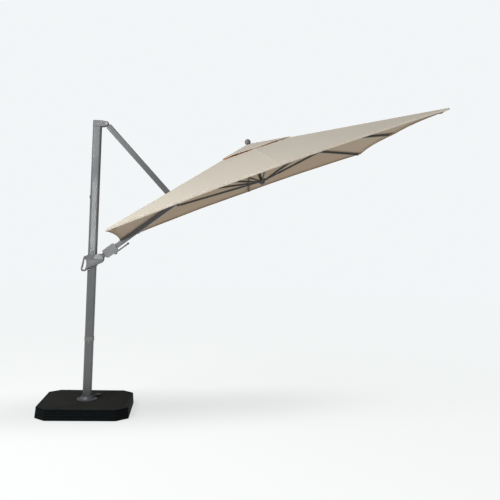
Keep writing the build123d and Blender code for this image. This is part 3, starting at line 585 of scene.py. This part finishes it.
def base_ring(inset, z):
    """The square with cut corners at a height, with its corners slightly rounded."""
    side = BASE_HALF - inset
    corner = BASE_CUT - inset * (2 - math.sqrt(2))
    points = []
    for c, s in ((1, 0), (0, 1), (-1, 0), (0, -1)):
        for x, y in ((side, -side + corner), (side, side - corner)):
            before = Vector((0, -1)) if y < 0 else Vector((0, 1))
            bend = Vector((-1, 1)).normalized() if y > 0 else Vector((-1, -1)).normalized()
            at = Vector((x, y))
            a, b = at - before * CORNER_ROUND, at + bend * CORNER_ROUND
            steps = [a.lerp(at, t).lerp(at.lerp(b, t), t) for t in (0, 0.25, 0.5, 0.75, 1)]
            if y < 0:
                steps = steps[::-1]
            points += [(p.x * c - p.y * s, p.x * s + p.y * c, z) for p in steps]
    return points


def base_shell():
    """The base's moulded cover: grooved sides that lean in, a rounded edge and a shallow ring on top."""
    profile = [(0.004, BASE_FOOT), (0.0005, 0.0035), (0.0, 0.006)]
    for z in GROOVE_LEVELS:
        at = (z - 0.003) * BASE_LEAN
        profile += [(at, z - GROOVE_HALF), (at + GROOVE_DEPTH, z - 0.0012),
                    (at + GROOVE_DEPTH, z + 0.0012), (at, z + GROOVE_HALF)]
    edge = 0.107 * BASE_LEAN
    for t in (0.0, 0.35, 0.7, 1.0):
        a = t * math.pi / 2
        inset = edge + BASE_EDGE * (1 - math.cos(a)) - 0.0004 * (1 - t)
        profile.append((inset, BASE_TOP - BASE_EDGE + BASE_EDGE * math.sin(a)))
    profile += [(0.030, BASE_TOP), (0.0315, 0.1092), (0.034, 0.1092), (0.0355, BASE_TOP)]
    rings = [base_ring(inset, z) for inset, z in profile]
    n = len(rings[0])
    points = [p for ring in rings for p in ring]
    faces = [(i * n + j, i * n + (j + 1) % n, (i + 1) * n + (j + 1) % n, (i + 1) * n + j)
             for i in range(len(rings) - 1) for j in range(n)]
    last, inner = (len(rings) - 1) * n, len(points)
    for x, y, z in rings[-1]:
        a = math.atan2(y, x)
        points.append((SOCKET_RADIUS * math.cos(a), SOCKET_RADIUS * math.sin(a), BASE_TOP))
    faces += [(last + j, last + (j + 1) % n, inner + (j + 1) % n, inner + j) for j in range(n)]
    under = len(points)
    points += base_ring(0.008, BASE_FOOT)
    faces += [(j, under + j, under + (j + 1) % n, (j + 1) % n) for j in range(n)]
    piece = made("base_shell", points, faces, [(0, 0)] * len(faces), [FINISHES["base_plastic"]])
    for edge in piece.data.edges:
        edge.use_edge_sharp = False
    piece.data.set_sharp_from_angle(angle=math.radians(32))
    return piece


shell = base_shell()
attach(shell, "base")
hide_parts("base_cover")

# ---- boss and mast stop --------------------------------------------------------------------------
# Painted light on the boss: the upper cap is a much lighter copy of the slider grey, a painted highlight where the
# dome catches light from above, and the skirt is a less light copy for the dome's lower side.
PAINTED_BOSS_LIGHT = coated("boss_painted_highlight", (0.27, 0.276, 0.285), 0.36, grain=600.0)
PAINTED_SKIRT_LIGHT = coated("boss_skirt_painted_light", (0.165, 0.170, 0.178), 0.42, grain=600.0)
PIVOT = JOINTS["boom_hinge"]["pos_m"]
COVER_OUT = 0.052       # the slider's covers stand this far from the mast's middle
BOSS_RADIUS = 0.0455
CREASE_HALF = 0.0025    # half width of the crease between the boss's two halves


def raised(name, outline, side, height, material, edge=0.0012):
    """A plate with rounded edges standing on the slider's cover, drawn in X and Z."""
    middle = (sum(x for x, z in outline) / len(outline), sum(z for x, z in outline) / len(outline))
    points, n = [], len(outline)
    levels = ((0.0, -0.0005), (0.0, height - edge), (0.3 * edge, height - 0.3 * edge), (edge, height))
    for inset, off in levels:
        for x, z in outline:
            out = Vector((x - middle[0], z - middle[1]))
            keep = 1 - inset / max(out.length, 0.004)
            points.append((middle[0] + out.x * keep, side * (COVER_OUT + off), middle[1] + out.y * keep))
    faces = []
    for i in range(3):
        for j in range(n):
            a, b = i * n + j, i * n + (j + 1) % n
            quad = (a, b, b + n, a + n)
            faces.append(quad if side > 0 else quad[::-1])
    end = tuple(3 * n + j for j in range(n))
    faces += [end if side > 0 else end[::-1]]
    piece = made(name, points, faces, [(0, 0)] * len(faces), [material])
    piece.data.set_sharp_from_angle(angle=math.radians(40))
    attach(piece, "slider")


def boss_arc(start, end, count=25):
    """Points on the boss's edge, from one angle to another in degrees."""
    angles = [math.radians(start + (end - start) * i / (count - 1)) for i in range(count)]
    return [(PIVOT[0] + BOSS_RADIUS * math.cos(a), PIVOT[2] + BOSS_RADIUS * math.sin(a)) for a in angles]


# The boss is in two halves, with a crease that runs on to the mast's far side; the halves' lighter colours are
# painted light on the dome.
for side, label in ((-1, "front"), (1, "rear")):
    crease = [(PIVOT[0] + 0.030, PIVOT[2] - 0.008), (PIVOT[0], PIVOT[2] - 0.012), (0.020, PIVOT[2] - 0.013),
              (-0.052, PIVOT[2] - 0.007)]
    above = [(x, z + CREASE_HALF) for x, z in crease]
    below = [(x, z - CREASE_HALF) for x, z in crease]
    upper = boss_arc(-6, 172) + [(PIVOT[0] - 0.043, PIVOT[2] - 0.006)] + above[1::-1]
    raised("boss_cap_" + label, upper[::-1], side, 0.005, PAINTED_BOSS_LIGHT)
    lower = boss_arc(-12, -62)
    lower += [(0.060, 1.4665), (0.040, 1.4585), (0.004, 1.4440), (-0.052, 1.4080)]
    lower += [(-0.048, 1.448), (-0.052, 1.495)] + below[::-1]
    raised("boss_skirt_" + label, lower, side, 0.003, PAINTED_SKIRT_LIGHT)


STOP_OUTLINE = [(-0.0435, 2.111), (-0.0465, 2.1135), (-0.0492, 2.118), (-0.0500, 2.124), (-0.0500, 2.138),
                (-0.0492, 2.144), (-0.0465, 2.1485), (-0.0435, 2.151)]
STOP_WIDTHS = (-0.0085, -0.006, 0.006, 0.0085)


def mast_stop():
    """The small rounded button on the mast's back."""
    points = [(x + (0.0012 if abs(y) > 0.006 else 0), y, z) for y in STOP_WIDTHS for x, z in STOP_OUTLINE]
    n = len(STOP_OUTLINE)
    faces = [(r * n + i, r * n + i + 1, (r + 1) * n + i + 1, (r + 1) * n + i)
             for r in range(3) for i in range(n - 1)]
    faces += [(r * n + n - 1, r * n, (r + 1) * n, (r + 1) * n + n - 1) for r in range(3)]
    faces += [tuple(range(n))[::-1], tuple(3 * n + i for i in range(n))]
    piece = made("mast_stop", points, faces, [(0, 0)] * len(faces), [FINISHES["knob_black"]])
    piece.data.set_sharp_from_angle(angle=math.radians(40))
    return piece


stop = mast_stop()
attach(stop, "mast")

# ---- stage, light and camera ---------------------------------------------------------------------
BACKDROP = (0.896, 0.920, 0.934)
FLOOR_REACH = 60.0
FLOOR_GREY = (0.20, 0.20, 0.20, 1)
FLOOR_GLOW = (0.972, 1.0, 0.995, 1)
GLOW_LEVELS = (0.655, 0.835)   # in the middle of the painted shadow, and outside it
# Where the painted shadow lies on the floor: its middle, its turn and its size.
PAINTED_SHADOW_PLACE = ((0.55, 0.12, 0), (0, 0, 0.24), (3.1, 1.15, 1))
FAR_FADE = (3.5, 22.0)         # the floor turns into the backdrop between these distances
SKY_TOWARD = (-0.62, -0.50, 0.60)
SKY_LEVELS = (0.12, 0.50)


def ramp(nt, kind, value, start, end, low, high):
    """A ramp of a value, straight or smooth."""
    node = nt.nodes.new("ShaderNodeMapRange")
    node.interpolation_type = kind
    for key, number in (("From Min", start), ("From Max", end), ("To Min", low), ("To Max", high)):
        node.inputs[key].default_value = number
    nt.links.new(value, node.inputs["Value"])
    return node.outputs["Result"]


def length_of(nt, vector):
    node = nt.nodes.new("ShaderNodeVectorMath")
    node.operation = "LENGTH"
    nt.links.new(vector, node.inputs[0])
    return node.outputs["Value"]


def shader_of(nt, kind, colour=None):
    """A shader node of one colour."""
    node = nt.nodes.new(kind)
    if colour:
        node.inputs["Color"].default_value = colour
    return node


def paint_floor():
    """Soft light floor with a painted shadow under the canopy, which fades into the backdrop."""
    paint = bpy.data.materials.new("floor_paint")
    paint.use_nodes = True
    nt = paint.node_tree
    nt.nodes.clear()
    spot = nt.nodes.new("ShaderNodeTexCoord").outputs["Object"]
    moved = nt.nodes.new("ShaderNodeMapping")
    moved.vector_type = "TEXTURE"
    for key, value in zip(("Location", "Rotation", "Scale"), PAINTED_SHADOW_PLACE):
        moved.inputs[key].default_value = value
    nt.links.new(spot, moved.inputs["Vector"])
    # Painted shadow: the floor's glow dips in a soft patch under the canopy.
    shade = ramp(nt, "SMOOTHSTEP", length_of(nt, moved.outputs["Vector"]), 0.0, 1.0, *GLOW_LEVELS)
    diffuse = shader_of(nt, "ShaderNodeBsdfDiffuse", FLOOR_GREY)
    glow = shader_of(nt, "ShaderNodeEmission", FLOOR_GLOW)
    nt.links.new(shade, glow.inputs["Strength"])
    both = shader_of(nt, "ShaderNodeAddShader")
    nt.links.new(diffuse.outputs[0], both.inputs[0])
    nt.links.new(glow.outputs[0], both.inputs[1])
    far = shader_of(nt, "ShaderNodeEmission", (*BACKDROP, 1))
    blended = shader_of(nt, "ShaderNodeMixShader")
    nt.links.new(ramp(nt, "SMOOTHSTEP", length_of(nt, spot), *FAR_FADE, 0.0, 1.0), blended.inputs["Fac"])
    nt.links.new(both.outputs[0], blended.inputs[1])
    nt.links.new(far.outputs[0], blended.inputs[2])
    surface = nt.nodes.new("ShaderNodeOutputMaterial")
    nt.links.new(blended.outputs[0], surface.inputs["Surface"])
    return paint


def lay_floor():
    """The floor: a large square with the floor paint."""
    mesh = bpy.data.meshes.new("floor")
    mesh.from_pydata([(x * FLOOR_REACH, y * FLOOR_REACH, 0) for x, y in ((-1, -1), (1, -1), (1, 1), (-1, 1))],
                     [], [(0, 1, 2, 3)])
    mesh.materials.append(paint_floor())
    floor = bpy.data.objects.new("floor", mesh)
    bpy.context.scene.collection.objects.link(floor)


def light_world():
    """A soft sky, brightest at the front left, with a plain light backdrop for the camera."""
    world = bpy.data.worlds.new("studio")
    bpy.context.scene.world = world
    world.use_nodes = True
    nt = world.node_tree
    nt.nodes.clear()
    toward = nt.nodes.new("ShaderNodeVectorMath")
    toward.operation = "DOT_PRODUCT"
    toward.inputs[1].default_value = Vector(SKY_TOWARD).normalized()
    nt.links.new(nt.nodes.new("ShaderNodeTexCoord").outputs["Generated"], toward.inputs[0])
    lit = shader_of(nt, "ShaderNodeBackground", (0.985, 0.993, 1.0, 1))
    nt.links.new(ramp(nt, "LINEAR", toward.outputs["Value"], -0.6, 1.0, *SKY_LEVELS), lit.inputs["Strength"])
    seen = shader_of(nt, "ShaderNodeBackground", (*BACKDROP, 1))
    choose = shader_of(nt, "ShaderNodeMixShader")
    nt.links.new(nt.nodes.new("ShaderNodeLightPath").outputs["Is Camera Ray"], choose.inputs["Fac"])
    nt.links.new(lit.outputs[0], choose.inputs[1])
    nt.links.new(seen.outputs[0], choose.inputs[2])
    out = nt.nodes.new("ShaderNodeOutputWorld")
    nt.links.new(choose.outputs[0], out.inputs["Surface"])


def lamp(name, kind, place, target, power, **settings):
    """A light that faces a target."""
    data = bpy.data.lights.new(name, kind)
    data.energy = power
    for key, value in settings.items():
        setattr(data, key, value)
    light = bpy.data.objects.new(name, data)
    bpy.context.scene.collection.objects.link(light)
    light.location = place
    light.rotation_euler = (Vector(target) - Vector(place)).to_track_quat("-Z", "Y").to_euler()


lay_floor()
light_world()
lamp("key", "AREA", (-2.0, -3.2, 4.3), (0.9, -0.6, 2.2), 150.0, size=1.4)
lamp("mast_strip", "AREA", (-0.97, -7.3, 2.15), (0, 0, 1.9), 12.0, shape="RECTANGLE", size=0.08, size_y=1.5)
lamp("head_fill", "SPOT", (-1.2, -4.6, 3.1), (0.05, 0, 2.74), 170.0,
     spot_size=math.radians(15.0), spot_blend=1.0, shadow_soft_size=0.25)
lamp("handle_fill", "SPOT", (-1.5, -4.4, 1.3), (0.38, 0, 1.74), 480.0,
     spot_size=math.radians(8.4), spot_blend=1.0, shadow_soft_size=0.25)

camera_data = bpy.data.cameras.new("camera")
camera_data.sensor_width = 36.0
camera_data.lens = 49.98
camera_data.shift_x = -0.03
camera_data.shift_y = -0.04
camera_data.clip_end = 200.0
camera = bpy.data.objects.new("camera", camera_data)
bpy.context.scene.collection.objects.link(camera)
EYE = (0.9321, -7.1125, 1.721)
YAW, PITCH, ROLL = math.radians(6.40), math.radians(1.13), math.radians(1.95)
ahead = Vector((math.sin(YAW) * math.cos(PITCH), math.cos(YAW) * math.cos(PITCH), math.sin(PITCH)))
level_right = Vector((math.cos(YAW), -math.sin(YAW), 0))
level_up = level_right.cross(ahead)
right = level_right * math.cos(ROLL) + level_up * math.sin(ROLL)
up = right.cross(ahead)
camera.matrix_world = Matrix((
    (right.x, up.x, -ahead.x, EYE[0]),
    (right.y, up.y, -ahead.y, EYE[1]),
    (right.z, up.z, -ahead.z, EYE[2]),
    (0, 0, 0, 1)))
bpy.context.scene.camera = camera
bpy.context.scene.view_settings.view_transform = "Standard"
